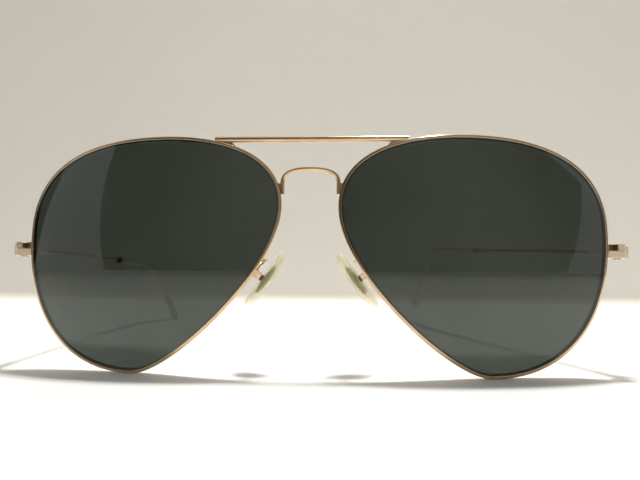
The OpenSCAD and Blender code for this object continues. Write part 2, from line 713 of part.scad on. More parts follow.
module pad_box(side) {
    color(gold) pad_frame(side) translate([0, 0, -pivot_drop]) difference() {
        union() {
            for (y = [-box_out, box_in])
                translate([box_front, y, -box_len / 2]) cube([box_back - box_front, box_wall, box_len]);
            translate([box_back, -box_out, -box_len / 2]) cube([box_wall, 2 * box_out, box_len]);
        }
        translate([pad_pivot, 2 * box_out, 0]) rotate([90, 0, 0])
            cylinder(r = pad_screw_d / 2 + still_fit, h = 4 * box_out);
    }
}
module pad_screw(side) {
    color(steel) pad_frame(side) translate([pad_pivot, 0, -pivot_drop]) rotate([-90, 0, 0]) {
        translate([0, 0, -box_out]) cylinder(d = pad_screw_d, h = 2 * box_out + still_fit);
        difference() {
            translate([0, 0, box_out + still_fit]) cylinder(d = pad_head_d, h = pad_head_h);
            translate([-pad_head_d, -screw_slot / 2, box_out + still_fit + pad_head_h * (1 - slot_share)])
                cube([2 * pad_head_d, screw_slot, pad_head_h]);
        }
    }
}

arm_v = -1.6;         // height where the pad arm leaves the rim, from the middle of the lens box
arm_s = crossing(arm_v, 1, 2, 3);
arm_end_x = box_back + box_wall / 2;
arm_end_z = box_len / 2 - pivot_drop;
arm_rise = 3;         // height of the loop above the pad box, along the pad
arm_inset = 0.3;      // the arm's end lies this share of its diameter inside the rim's outer edge
arm_tuck = 1.8;       // the loop starts this far in from the rim, towards the nose
arm_root = rim_point(arm_s, rim_out - arm_d * arm_inset, rim_far + arm_d / 2 - braze);
// The arm leaves the back of the rim, loops back behind the pad and comes down on the pad box.
arm_handles = [
    arm_root,
    arm_root + [-arm_tuck, arm_reach, 0],
    pad_to_front([arm_end_x, arm_reach, arm_end_z + arm_rise]),
    pad_to_front([arm_end_x, 0, arm_end_z - braze])
];
arm_steps = 12;
module pad_arm(side) {
    path = [for (i = [0:arm_steps]) bezier(arm_handles, i / arm_steps)];
    color(gold) front_frame(side) skin([for (i = [0:arm_steps])
        let (t = heading(path, i), a = cross(t, [0, 0, 1]), across = a / norm(a))
        oval(path[i], t, across, arm_d / 2, arm_d / 2, 8)]);
}

rim(right);  // rim_right
rim(left);  // rim_left
lens(right);  // lens_right
lens(left);  // lens_left
brow_bar();
bridge();
lock_upper(right);  // lock_upper_right
lock_upper(left);  // lock_upper_left
lock_lower(right);  // lock_lower_right
lock_lower(left);  // lock_lower_left
lock_screw(right);  // lock_screw_right
lock_screw(left);  // lock_screw_left
front_hinge(right);  // front_hinge_right
front_hinge(left);  // front_hinge_left
hinge_screw(right);  // hinge_screw_right
hinge_screw(left);  // hinge_screw_left
pad_arm(right);  // pad_arm_right
pad_arm(left);  // pad_arm_left
pad_box(right);  // pad_box_right
pad_box(left);  // pad_box_left
pad_screw(right);  // pad_screw_right
pad_screw(left);  // pad_screw_left
nose_pad(right);  // nose_pad_right
nose_pad(left);  // nose_pad_left
pad_insert(right);  // pad_insert_right
pad_insert(left);  // pad_insert_left
temple_hinge(right);  // temple_hinge_right
temple_hinge(left);  // temple_hinge_left
temple_wire(right);  // temple_wire_right
temple_wire(left);  // temple_wire_left
temple_collar(right);  // temple_collar_right
temple_collar(left);  // temple_collar_left
temple_tip(right);  // temple_tip_right
temple_tip(left);  // temple_tip_left
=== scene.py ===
import math

import bmesh
import bpy
import numpy as np
from mathutils import Matrix, Vector


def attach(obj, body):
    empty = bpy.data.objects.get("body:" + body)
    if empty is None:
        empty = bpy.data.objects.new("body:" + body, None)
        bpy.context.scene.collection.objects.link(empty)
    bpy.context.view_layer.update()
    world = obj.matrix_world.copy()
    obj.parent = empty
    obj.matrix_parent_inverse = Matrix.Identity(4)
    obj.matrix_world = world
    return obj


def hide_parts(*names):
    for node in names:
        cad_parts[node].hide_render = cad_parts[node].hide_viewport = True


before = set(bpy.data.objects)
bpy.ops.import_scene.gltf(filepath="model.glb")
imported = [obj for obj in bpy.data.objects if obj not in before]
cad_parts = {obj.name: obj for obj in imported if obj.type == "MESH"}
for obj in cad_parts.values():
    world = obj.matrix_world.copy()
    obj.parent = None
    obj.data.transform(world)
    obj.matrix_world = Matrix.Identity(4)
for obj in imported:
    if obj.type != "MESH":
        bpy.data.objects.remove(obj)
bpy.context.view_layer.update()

MM = 0.001
SIDES = {"right": -1.0, "left": 1.0}

# ---------------------------------------------------------------- sizes in mm, as in the part's source
LENS_W, LENS_H, LENS_T, LENS_CURVE, LENS_GAP = 62.0, 54.6, 2.0, 88.0, 14.6
WRAP, LEAN = math.radians(6.4), math.radians(2.7)
CROWN_U, CHIN_U, TEMPLE_V, NOSE_V = -2.5, 3.0, 7.0, 10.5
HANDLES = [[0.615, 0.724], [0.672, 0.590], [0.274, 0.422], [0.604, 0.700]]
RIM_OUT, RIM_DEPTH, GROOVE, GROOVE_W = 0.35, 2.1, 0.45, 1.3
LENS_FIT = 0.04
BRAZE = 0.08
BRIDGE_T, BRIDGE_DEPTH, BRIDGE_FOOT, BRIDGE_SPRING = 1.0, 1.4, 13.6, 16.3
BRIDGE_TOP, BRIDGE_SQUARE, WEB_T = 19.65, 2.5, 1.0
LOCK_V, LOCK_GAP, LOCK_LEN, LOCK_DEPTH, LOCK_PROUD = 1.3, 0.1, 4.0, 3.0, 0.1
LOCK_LOW_H, LOCK_HIGH_H = 1.6, 1.55
LOCK_SCOOP, SCOOP_SLOPE, SCOOP_END, LOCK_CORNER = 1.6, 0.5, 0.6, 0.5
PIN_OUT, PIN_BACK = 2.0, 2.8
TEMPLE_LEN, WIRE_START, WIRE_D, COVER_START = 140.0, 2.5, 1.1, 66.0
BEND_START, BEND_R, BEND_A = 93.5, 28.0, math.radians(48)
SPLAY = {"right": math.radians(5), "left": math.radians(-15.3)}
HOOK = {"right": math.radians(16), "left": math.radians(-7)}
LEFT_LIFT = math.radians(3.4)
COVER_D, COVER_MID_D, PADDLE_LEN, PADDLE_H, PADDLE_T, TIP_ROUND = 2.0, 2.4, 13.0, 4.0, 3.0, 2.6
WIRE_SHORT, FLAT_H, FLAT_T, COVER_FIT = 6.0, 1.8, 0.6, 0.04
PAD_LEN, PAD_W, PAD_T, PAD_OUTER, PAD_BOW = 15.4, 7.0, 2.5, 0.85, 0.3
PAD_C = np.array([10.8, 8.6, -5.8])
PAD_LEAN, PAD_SPLAY = math.radians(36), math.radians(12)
PAD_PIVOT, PIVOT_DROP, BOX_LEN, BOX_WALL = 1.9, 0.2, 1.7, 0.5
LUG_SHORT, LUG_CLEAR = 0.3, 0.15
ARM_D, ARM_V, ARM_INSET, ARM_REACH, ARM_RISE, ARM_TUCK = 0.9, -1.6, 0.3, 6.0, 3.0, 1.8
# The source works these two out: the height of the lens's middle and the fall of the right temple.
STAND_Z, RIGHT_DROOP = 27.8178, math.radians(1.17513)

half_w, half_h = LENS_W / 2, LENS_H / 2
EXTREMES = [(CROWN_U, half_h), (half_w, TEMPLE_V), (CHIN_U, -half_h), (-half_w, NOSE_V)]
lens_x = LENS_GAP / 2 + half_w


# ---------------------------------------------------------------- the lens outline and the front's frame
def quarter(k):
    """The four control points of one quarter of the lens outline."""
    a, b = np.array(EXTREMES[k]), np.array(EXTREMES[(k + 1) % 4])
    c = np.array([b[0], a[1]]) if k % 2 == 0 else np.array([a[0], b[1]])
    return a, a + (c - a) * HANDLES[k][0], b + (c - b) * HANDLES[k][1], b


def outline(s, r=0.0):
    """The point s quarters round the lens from its crown, r mm outside its edge."""
    k = min(3, int(s % 4)) if s < 4 else 3
    t = s - k
    p = quarter(k)
    q = (1 - t) ** 3 * p[0] + 3 * t * (1 - t) ** 2 * p[1] + 3 * t * t * (1 - t) * p[2] + t ** 3 * p[3]
    d = (1 - t) ** 2 * (p[1] - p[0]) + 2 * t * (1 - t) * (p[2] - p[1]) + t * t * (p[3] - p[2])
    d = d / np.linalg.norm(d)
    return q + r * np.array([-d[1], d[0]])


def crossing(v, c, lo, hi):
    """Where the outline's coordinate c is v, between lo and hi."""
    for _ in range(30):
        m = (lo + hi) / 2
        rising = outline(hi)[c] > outline(lo)[c]
        if (outline(m)[c] < v) == rising:
            lo = m
        else:
            hi = m
    return (lo + hi) / 2


def on_lens(uv, n):
    """The outline's point on the curved lens, n mm behind its front face."""
    sag = LENS_CURVE - math.sqrt(LENS_CURVE ** 2 - uv[0] ** 2 - uv[1] ** 2)
    p = np.array([uv[0], sag, uv[1]])
    c = np.array([0, LENS_CURVE, 0.0])
    return c + (p - c) * (LENS_CURVE - n) / LENS_CURVE


def lens_to_front(p):
    return np.array([
        lens_x + p[0] * math.cos(WRAP) - p[1] * math.sin(WRAP),
        p[0] * math.sin(WRAP) + p[1] * math.cos(WRAP),
        p[2]])


def rim_point(s, r, n):
    return lens_to_front(on_lens(outline(s, r), n))


def lean_back(p):
    return np.array([
        p[0],
        p[1] * math.cos(LEAN) + p[2] * math.sin(LEAN),
        -p[1] * math.sin(LEAN) + p[2] * math.cos(LEAN)])


def to_row(p, side):
    """From the front's own frame, in mm, to the object's frame in metres."""
    q = lean_back(p)
    return np.array([side * q[0], q[1], q[2] + STAND_Z]) * MM


rim_near = (LENS_T - RIM_DEPTH) / 2
rim_far = rim_near + RIM_DEPTH
rim_mid = LENS_T / 2


# ---------------------------------------------------------------- mesh helpers
def mesh_object(name, verts, faces, body, smooth=True, auto=None):
    """A mesh from points in metres; auto is the angle in degrees past which an edge stays sharp."""
    me = bpy.data.meshes.new(name)
    me.from_pydata([tuple(v) for v in verts], [], faces)
    me.validate()
    me.update()
    ob = bpy.data.objects.new(name, me)
    bpy.context.scene.collection.objects.link(ob)
    if smooth:
        for p in me.polygons:
            p.use_smooth = True
    if auto is not None:
        me.set_sharp_from_angle(angle=math.radians(auto))
    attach(ob, body)
    return ob


def skin_faces(n_rings, m):
    """The faces of a closed skin over n_rings rings of m points, with a cap at each end."""
    faces = []
    for i in range(n_rings - 1):
        for j in range(m):
            a, b = i * m + j, i * m + (j + 1) % m
            faces.append((a, a + m, b + m, b))
    faces.append(tuple(range(m)))
    faces.append(tuple(reversed([(n_rings - 1) * m + j for j in range(m)])))
    return faces


def outward(verts, faces):
    """Turns all faces over if the closed skin is inside out."""
    v = np.array(verts)
    vol = 0.0
    for f in faces:
        for k in range(1, len(f) - 1):
            vol += np.dot(v[f[0]], np.cross(v[f[k]], v[f[k + 1]]))
    return faces if vol > 0 else [tuple(reversed(f)) for f in faces]


def closed_skin(rings, place):
    """The points and outward faces of a skin over rings that place() puts where they belong."""
    verts = [place(p) for ring in rings for p in ring]
    return verts, outward(verts, skin_faces(len(rings), len(rings[0])))


def skin(name, rings, side, body, place=None, auto=None):
    verts, faces = closed_skin(rings, place or (lambda p: to_row(p, side)))
    return mesh_object(name, verts, faces, body, auto=auto)


def joined(name, parts, body, auto):
    """One mesh from several pairs of points and faces."""
    verts, faces = [], []
    for v, f in parts:
        faces += [tuple(k + len(verts) for k in face) for face in f]
        verts += list(v)
    return mesh_object(name, verts, faces, body, auto=auto)


def ring_angles(n):
    return [2 * math.pi * j / n for j in range(n)]


def frames_along(path, first):
    """A steady pair of directions across each point of a path."""
    out = []
    side = np.array(first, float)
    for i in range(len(path)):
        d = path[min(i + 1, len(path) - 1)] - path[max(i - 1, 0)]
        d = d / np.linalg.norm(d)
        side = side - d * np.dot(side, d)
        side = side / np.linalg.norm(side)
        out.append((side, np.cross(d, side)))
    return out


def tube_rings(path, first, half_a, half_b, n=20):
    """Oval rings along a path; half_a is the half size along first, and half_b across it."""
    return [[p + a * half_a * math.cos(t) + b * half_b * math.sin(t) for t in ring_angles(n)]
            for p, (a, b) in zip(path, frames_along(path, first))]


def rounded_section(corners, radii, steps):
    """A closed section with its corners rounded, as a list of points."""
    out = []
    m = len(corners)
    for i in range(m):
        p, a, b = (np.array(corners[k % m], float) for k in (i, i - 1, i + 1))
        r = radii[i]
        da, db = (a - p) / np.linalg.norm(a - p), (b - p) / np.linalg.norm(b - p)
        half = math.acos(max(-1, min(1, np.dot(da, db)))) / 2
        cut = r / math.tan(half)
        centre = p + (da + db) / np.linalg.norm(da + db) * r / math.sin(half)
        v0, v1 = p + da * cut - centre, p + db * cut - centre
        turn = math.acos(max(-1, min(1, np.dot(v0, v1) / r / r)))
        for k in range(steps + 1):
            t = k / steps
            q = (math.sin((1 - t) * turn) * v0 + math.sin(t * turn) * v1) / math.sin(turn)
            out.append(centre + q)
    return out


def inset(pts, r):
    """A closed outline of points, drawn in by r."""
    out = []
    for i, p in enumerate(pts):
        a, b = pts[i - 1], pts[(i + 1) % len(pts)]
        n1 = np.array([-(p - a)[1], (p - a)[0]])
        n2 = np.array([-(b - p)[1], (b - p)[0]])
        n1 = n1 / np.linalg.norm(n1)
        n2 = n2 / np.linalg.norm(n2)
        n = n1 + n2
        n = n / max(np.linalg.norm(n), 1e-6)
        out.append(p + n * r / max(0.5, np.dot(n, n1)))
    return out


def plate(points, y, thick, side, soft=0.14):
    """A flat plate in the front's plane with softened edges; points are (x, z) in mm."""
    pts = [np.array(p, float) for p in points]
    area = sum(p[0] * q[1] - q[0] * p[1] for p, q in zip(pts, pts[1:] + pts[:1]))
    if area < 0:
        pts = pts[::-1]
    part_way = soft * 0.3
    levels = [(0, soft), (part_way, part_way), (soft, 0),
              (thick - soft, 0), (thick - part_way, part_way), (thick, soft)]
    rings = [[np.array([p[0], y - thick / 2 + depth, p[1]]) for p in inset(pts, r)] for depth, r in levels]
    return closed_skin(rings, lambda p: to_row(p, side))


# ---------------------------------------------------------------- materials
def material(name):
    m = bpy.data.materials.new(name)
    m.use_nodes = True
    t = m.node_tree
    return m, t, t.nodes["Principled BSDF"]


def noise(t, scale, detail):
    n = t.nodes.new("ShaderNodeTexNoise")
    n.inputs["Scale"].default_value = scale
    n.inputs["Detail"].default_value = detail
    n.inputs["Roughness"].default_value = 0.55
    t.links.new(t.nodes.new("ShaderNodeTexCoord").outputs["Object"], n.inputs["Vector"])
    return n.outputs["Fac"]


def ramp(t, fac, stops):
    r = t.nodes.new("ShaderNodeValToRGB")
    while len(r.color_ramp.elements) < len(stops):
        r.color_ramp.elements.new(0.5)
    for e, (pos, col) in zip(r.color_ramp.elements, stops):
        e.position = pos
        e.color = (*col, 1)
    t.links.new(fac, r.inputs["Fac"])
    return r.outputs["Color"]


def span(t, fac, lo, hi, f0, f1):
    """Maps f0..f1 to lo..hi."""
    m = t.nodes.new("ShaderNodeMapRange")
    m.inputs["From Min"].default_value = f0
    m.inputs["From Max"].default_value = f1
    m.inputs["To Min"].default_value = lo
    m.inputs["To Max"].default_value = hi
    t.links.new(fac, m.inputs["Value"])
    return m.outputs["Result"]


def bump(t, fac, strength, distance):
    b = t.nodes.new("ShaderNodeBump")
    b.inputs["Strength"].default_value = strength
    b.inputs["Distance"].default_value = distance
    t.links.new(fac, b.inputs["Height"])
    return b.outputs["Normal"]


def metal(name, dark, light, rough_lo, rough_hi, scale=900, grain=0.06, metallic=1.0):
    """Metal with a broad tone and a fine grain; scale is the grain's."""
    m, t, b = material(name)
    fine = noise(t, scale, 4)
    broad = noise(t, scale / 9, 2)
    t.links.new(ramp(t, broad, [(0.30, dark), (0.70, light)]), b.inputs["Base Color"])
    t.links.new(span(t, fine, rough_lo, rough_hi, 0.3, 0.7), b.inputs["Roughness"])
    t.links.new(bump(t, fine, grain, 0.00002), b.inputs["Normal"])
    b.inputs["Metallic"].default_value = metallic
    return m


def lens_material():
    m, t, b = material("lens_glass")
    broad = noise(t, 40, 2)
    tints = [(0.35, (0.046, 0.058, 0.049)), (0.65, (0.053, 0.066, 0.056))]
    t.links.new(ramp(t, broad, tints), b.inputs["Base Color"])
    fine = noise(t, 260, 3)
    t.links.new(span(t, fine, 0.0, 0.02, 0.35, 0.75), b.inputs["Roughness"])
    b.inputs["Transmission Weight"].default_value = 1.0
    b.inputs["IOR"].default_value = 1.52
    return m


def clear_plastic(name, thin, thick, rough_lo, rough_hi, alpha_lo, alpha_hi):
    m, t, b = material(name)
    broad = noise(t, 150, 2)
    fine = noise(t, 900, 4)
    t.links.new(ramp(t, broad, [(0.30, thick), (0.70, thin)]), b.inputs["Base Color"])
    t.links.new(span(t, fine, rough_lo, rough_hi, 0.3, 0.7), b.inputs["Roughness"])
    t.links.new(span(t, broad, alpha_lo, alpha_hi, 0.3, 0.7), b.inputs["Alpha"])
    t.links.new(bump(t, fine, 0.05, 0.00003), b.inputs["Normal"])
    b.inputs["IOR"].default_value = 1.43
    b.inputs["Subsurface Weight"].default_value = 0.35
    b.inputs["Subsurface Radius"].default_value = (1.0, 0.9, 0.6)
    b.inputs["Subsurface Scale"].default_value = 0.002
    return m


GOLD = metal("gold_plate", (0.60, 0.42, 0.25), (0.74, 0.54, 0.34), 0.10, 0.20)
# The next two are lit and shaded copies of one plated gold: the paler one is a painted highlight, the darker
# one painted shade.
GOLD_PAINTED_LIT = metal("gold_plate_painted_lit", (1.0, 0.79, 0.56), (1.0, 0.84, 0.64), 0.20, 0.28, 500, 0.0, 0.35)
GOLD_PAINTED_SHADED = metal("gold_plate_painted_shaded", (0.78, 0.63, 0.45), (0.86, 0.71, 0.52), 0.24, 0.32, 500, 0.0, 0.5)
# GOLD_SHADE is painted shade: near-black gold for the hollow of the lock's scoop.
GOLD_SHADE = metal("gold_painted_shade_in_hollow", (0.16, 0.11, 0.07), (0.22, 0.16, 0.10), 0.30, 0.40, 500, 0.0)
STEEL = metal("screw_steel", (0.55, 0.52, 0.47), (0.74, 0.70, 0.63), 0.18, 0.34, 1600, 0.1)
LENS = lens_material()
PAD = clear_plastic("pad_silicone", (0.98, 0.92, 0.60), (0.95, 0.86, 0.46), 0.06, 0.14, 0.40, 0.30)
TIP = clear_plastic("tip_plastic", (0.93, 0.89, 0.72), (0.88, 0.82, 0.58), 0.08, 0.18, 0.60, 0.45)
DARK = metal("insert_steel", (0.035, 0.033, 0.028), (0.07, 0.066, 0.058), 0.30, 0.45, 1500, 0.1)


def wear(ob, mat):
    ob.data.materials.clear()
    ob.data.materials.append(mat)
    return ob


# ---------------------------------------------------------------- rims and lenses
# The section as [depth, outwards]: a rounded wire with a groove inside.
SECTION = rounded_section(
    [(rim_near, -GROOVE), (rim_near, RIM_OUT), (rim_far, RIM_OUT), (rim_far, -GROOVE),
     (rim_mid + GROOVE_W / 2, -GROOVE), (rim_mid, 0), (rim_mid - GROOVE_W / 2, -GROOVE)],
    [0.16, 0.3, 0.3, 0.16, 0.05, 0.03, 0.05], 5)
RIM_STEPS, LENS_STEPS, LENS_LOOPS = 420, 336, 14
LENS_CENTRE = 0.02
cut_top = crossing(LOCK_V + LOCK_GAP / 2, 1, 1, 2)
cut_low = crossing(LOCK_V - LOCK_GAP / 2, 1, 1, 2)


def rim_rings():
    """The section swept once round, from below the cut to above it."""
    rings = []
    for i in range(RIM_STEPS + 1):
        run = cut_low + (cut_top + 4 - cut_low) * i / RIM_STEPS
        s = run - 4 if run > 4 else run
        rings.append([rim_point(s, q[1], q[0]) for q in SECTION])
    return rings


def lens_loop(share, r, n):
    """The outline, r mm outside the lens's edge and n mm behind its front, shrunk to a share."""
    return [lens_to_front(on_lens(outline(4 * i / LENS_STEPS, r) * share, n)) for i in range(LENS_STEPS)]


def lens_rings():
    """The front face from its centre out, the bevelled edge, and the back face in again."""
    edge = -GROOVE - LENS_FIT
    bevel = (GROOVE_W / 2 - LENS_FIT) * 0.9
    shares = [max(k, LENS_CENTRE) / LENS_LOOPS for k in range(LENS_LOOPS + 1)]
    rings = [lens_loop(share, edge, 0) for share in shares]
    rings.append(lens_loop(1, edge, rim_mid - bevel))
    rings.append(lens_loop(1, -LENS_FIT, rim_mid))
    rings.append(lens_loop(1, edge, rim_mid + bevel))
    return rings + [lens_loop(share, edge, LENS_T) for share in reversed(shares)]


for word, side in SIDES.items():
    rim = wear(skin("rim_wire_" + word, rim_rings(), side, "front", auto=70), GOLD)
    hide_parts("rim_" + word)
    glass = wear(skin("lens_glass_" + word, lens_rings(), side, "front", auto=30), LENS)
    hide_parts("lens_" + word)

# ---------------------------------------------------------------- bridge
BRIDGE_STEPS, BRIDGE_LEG_STEPS = 96, 5
foot_s = crossing(BRIDGE_FOOT, 1, 3, 4)
spring_s = crossing(BRIDGE_SPRING, 1, 3, 4)
foot = rim_point(foot_s, RIM_OUT, rim_mid)
bridge_y = foot[1]
bridge_half = foot[0] + BRAZE - BRIDGE_T / 2


def bridge_path():
    """Up one leg, over a squared arch and down the other leg."""
    leg = np.linspace(BRIDGE_FOOT, BRIDGE_SPRING, BRIDGE_LEG_STEPS + 1)
    path = [np.array([-bridge_half, bridge_y, z]) for z in leg[:-1]]
    for i in range(BRIDGE_STEPS + 1):
        a = math.pi * i / BRIDGE_STEPS
        c, s = math.cos(a), max(0.0, math.sin(a))
        path.append(np.array([
            -math.copysign(1, c) * bridge_half * abs(c) ** (2 / BRIDGE_SQUARE), bridge_y,
            BRIDGE_SPRING + (BRIDGE_TOP - BRIDGE_SPRING) * s ** (2 / BRIDGE_SQUARE)]))
    return path + [np.array([bridge_half, bridge_y, z]) for z in leg[::-1][1:]]


def rim_edge(s0, s1, n=14):
    """Points just inside the rim's outer edge, as (x, z)."""
    points = [rim_point(s0 + (s1 - s0) * i / (n - 1), RIM_OUT - BRAZE, rim_mid) for i in range(n)]
    return [(p[0], p[2]) for p in points]


arch = closed_skin(tube_rings(bridge_path(), (0, 1, 0), BRIDGE_DEPTH / 2, BRIDGE_T / 2),
                   lambda p: to_row(p, 1))
web_points = [(bridge_half, BRIDGE_SPRING), (bridge_half, BRIDGE_FOOT)] + rim_edge(foot_s, spring_s)
webs = [plate(web_points, bridge_y, WEB_T, side) for side in SIDES.values()]
bridge = wear(joined("bridge_wire", [arch] + webs, "front", 50), GOLD)
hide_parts("bridge")

# ---------------------------------------------------------------- temples
WIRE_SIDES, COVER_SIDES = 24, 32
WIRE_STEPS, HOLLOW_STEPS, COVER_STEPS = 150, 90, 110
TIP_END_SHARE = 0.03
bend_len = BEND_R * BEND_A
flat_s = BEND_START + bend_len
paddle_s = TEMPLE_LEN - PADDLE_LEN
core_end = TEMPLE_LEN - WIRE_SHORT


def temple_plane(s):
    """Where the wire is in its own plane, s mm along it: how far back and down, and its slope."""
    a = min(max((s - BEND_START) / bend_len, 0), 1) * BEND_A
    rest = max(s - BEND_START - bend_len, 0)
    return (min(s, BEND_START) + BEND_R * math.sin(a) + rest * math.cos(BEND_A),
            BEND_R * (1 - math.cos(a)) + rest * math.sin(BEND_A), a)


def temple_axes(s, hook):
    """The wire's point, its direction and the direction to its side."""
    q0, q1, a = temple_plane(s)
    p = np.array([-q1 * math.sin(hook), q0, -q1 * math.cos(hook)])
    t = np.array([-math.sin(a) * math.sin(hook), math.cos(a), -math.sin(a) * math.cos(hook)])
    side = np.array([math.cos(hook), 0, -math.sin(hook)])
    return p, t, side


def eased(x):
    x = min(max(x, 0.0), 1.0)
    return x * x * (3 - 2 * x)


def cover_half(s, end):
    """Half the cover's size: it swells to the bend, then to end at the paddle, and closes round."""
    early = COVER_D / 2 + (COVER_MID_D - COVER_D) / 2 * eased((s - COVER_START) / (BEND_START - COVER_START))
    late = early + (end - early) * eased((s - BEND_START) / (paddle_s - BEND_START))
    t = max(s - TEMPLE_LEN + TIP_ROUND, 0) / TIP_ROUND
    return late * math.sqrt(max(1 - t * t, TIP_END_SHARE ** 2))


def core_half(s, end):
    """Half the wire's size: round at first, and pressed to end over the bend."""
    return WIRE_D / 2 + (end - WIRE_D / 2) * eased((s - BEND_START) / (flat_s - BEND_START))


def oval(s, hook, a, b, n):
    p, t, side = temple_axes(s, hook)
    up = np.cross(t, side)
    return [p + a * math.cos(v) * side + b * math.sin(v) * up for v in ring_angles(n)]


def wire_oval(s, hook, fit, n):
    return oval(s, hook, core_half(s, FLAT_T / 2) + fit, core_half(s, FLAT_H / 2) + fit, n)


def cover_oval(s, hook):
    return oval(s, hook, cover_half(s, PADDLE_T / 2), cover_half(s, PADDLE_H / 2), COVER_SIDES)


def stations(lo, hi, n):
    return [lo + (hi - lo) * i / n for i in range(n + 1)]


def cover_rings(hook):
    """The hollow from its end to its mouth, and then the outside to the rounded tip."""
    hollow = [wire_oval(s, hook, COVER_FIT, COVER_SIDES)
              for s in reversed(stations(COVER_START, core_end + COVER_FIT, HOLLOW_STEPS))]
    ends = [TEMPLE_LEN - TIP_ROUND + TIP_ROUND * math.sin(math.radians(a)) for a in range(6, 91, 6)]
    outside = stations(COVER_START, TEMPLE_LEN - TIP_ROUND, COVER_STEPS) + ends
    return hollow + [cover_oval(s, hook) for s in outside]


lock_s = crossing(LOCK_V, 1, 1, 2)
lock_near = rim_point(lock_s, RIM_OUT, rim_near)
lock_far = rim_point(lock_s, RIM_OUT, rim_far)
lock_front = lock_near[1] - LOCK_PROUD
lock_back = lock_front + LOCK_DEPTH
lock_outer = lock_near[0] + LOCK_LEN
HINGE = np.array([lock_near[0] + PIN_OUT, lock_back + PIN_BACK, LOCK_V])


def temple_place(word, side):
    """From the temple's own frame, at its hinge pin, to the object's frame."""
    droop = RIGHT_DROOP if side < 0 else RIGHT_DROOP - LEFT_LIFT
    a, sp = LEAN - droop, SPLAY[word]

    def place(p):
        y, z = p[1] * math.cos(a) - p[2] * math.sin(a), p[1] * math.sin(a) + p[2] * math.cos(a)
        splayed = np.array([
            p[0] * math.cos(sp) + y * math.sin(sp), -p[0] * math.sin(sp) + y * math.cos(sp), z])
        return to_row(splayed + HINGE, side)
    return place


for word, side in SIDES.items():
    hook, place, body = HOOK[word], temple_place(word, side), "temple_" + word
    rings = [wire_oval(s, hook, 0, WIRE_SIDES) for s in stations(WIRE_START, core_end, WIRE_STEPS)]
    wire = wear(skin("temple_core_" + word, rings, side, body, place, 50), GOLD)
    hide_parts("temple_wire_" + word)
    tip = wear(skin("tip_cover_" + word, cover_rings(hook), side, body, place, 50), TIP)
    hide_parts("temple_tip_" + word)

# ---------------------------------------------------------------- nose pads and their arms
PAD_ROWS, PAD_SIDES, PLATE_ROWS, PLATE_SIDES, ARM_STEPS = 44, 48, 24, 24, 40
PAD_ENDS = (3, 4, 8)
PAD_END_SHARE, PLATE_END_SHARE = 0.04, 0.01
# The plate lies round the middle of the flat insert, whose corners reach out of it inside the pad.
PLATE_LEN, PLATE_W, PLATE_T, PLATE_X = 7.8, 4.4, 1.5, -0.2
pad_inner = PAD_OUTER - PAD_T


def pad_to_front(p):
    x = p[0] * math.cos(PAD_SPLAY) + p[1] * math.sin(PAD_SPLAY)
    y = -p[0] * math.sin(PAD_SPLAY) + p[1] * math.cos(PAD_SPLAY)
    return PAD_C + np.array([
        x * math.cos(PAD_LEAN) - p[2] * math.sin(PAD_LEAN),
        y,
        x * math.sin(PAD_LEAN) + p[2] * math.cos(PAD_LEAN)])


def pad_rings():
    """The pad from its lower to its upper end: a crowned inner face and a flatter outer one."""
    rings = []
    for i in range(PAD_ROWS + 1):
        z = -PAD_LEN / 2 * math.cos(math.pi * i / PAD_ROWS)
        share = abs(2 * z / PAD_LEN)
        wide, crown, blunt = (math.sqrt(max(1 - share ** e, PAD_END_SHARE ** 2)) for e in PAD_ENDS)
        ring = []
        for a in ring_angles(PAD_SIDES):
            c, s = math.cos(a), math.sin(a)
            x = PAD_OUTER * blunt * math.sqrt(c) if c > 0 else -pad_inner * crown * c
            ring.append(pad_to_front(np.array([x + PAD_BOW * share * share, PAD_W / 2 * wide * s, z])))
        rings.append(ring)
    return rings


def plate_rings():
    """The rounded plate round the insert, which shows dark inside the clear pad."""
    rings = []
    for i in range(PLATE_ROWS + 1):
        z = -PLATE_LEN / 2 * math.cos(math.pi * i / PLATE_ROWS)
        f = max(1 - (2 * z / PLATE_LEN) ** 2, PLATE_END_SHARE) ** 0.75
        rings.append([pad_to_front(np.array([
            PLATE_X + PLATE_T / 2 * f * math.cos(a), PLATE_W / 2 * f * math.sin(a), z]))
            for a in ring_angles(PLATE_SIDES)])
    return rings


def bezier(h, t):
    return (1 - t) ** 3 * h[0] + 3 * t * (1 - t) ** 2 * h[1] + 3 * t * t * (1 - t) * h[2] + t ** 3 * h[3]


box_back = PAD_PIVOT + (BOX_LEN - LUG_SHORT) / 2 + LUG_CLEAR
arm_end_x = box_back + BOX_WALL / 2
arm_end_z = BOX_LEN / 2 - PIVOT_DROP
arm_root = rim_point(crossing(ARM_V, 1, 2, 3), RIM_OUT - ARM_D * ARM_INSET, rim_far + ARM_D / 2 - BRAZE)
ARM = [
    arm_root,
    arm_root + np.array([-ARM_TUCK, ARM_REACH, 0]),
    pad_to_front(np.array([arm_end_x, ARM_REACH, arm_end_z + ARM_RISE])),
    pad_to_front(np.array([arm_end_x, 0, arm_end_z - BRAZE])),
]
arm_path = [bezier(ARM, i / ARM_STEPS) for i in range(ARM_STEPS + 1)]
for word, side in SIDES.items():
    body = "pad_" + word
    pad = wear(skin("pad_body_" + word, pad_rings(), side, body), PAD)
    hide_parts("nose_pad_" + word)
    wear(skin("insert_plate_" + word, plate_rings(), side, body), DARK)
    arm_rings = tube_rings(arm_path, (0, 0, 1), ARM_D / 2, ARM_D / 2)
    arm = wear(skin("pad_arm_wire_" + word, arm_rings, side, "front", auto=50), GOLD)
    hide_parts("pad_arm_" + word)


# ---------------------------------------------------------------- lock blocks
LOCK_SOFT = 0.12


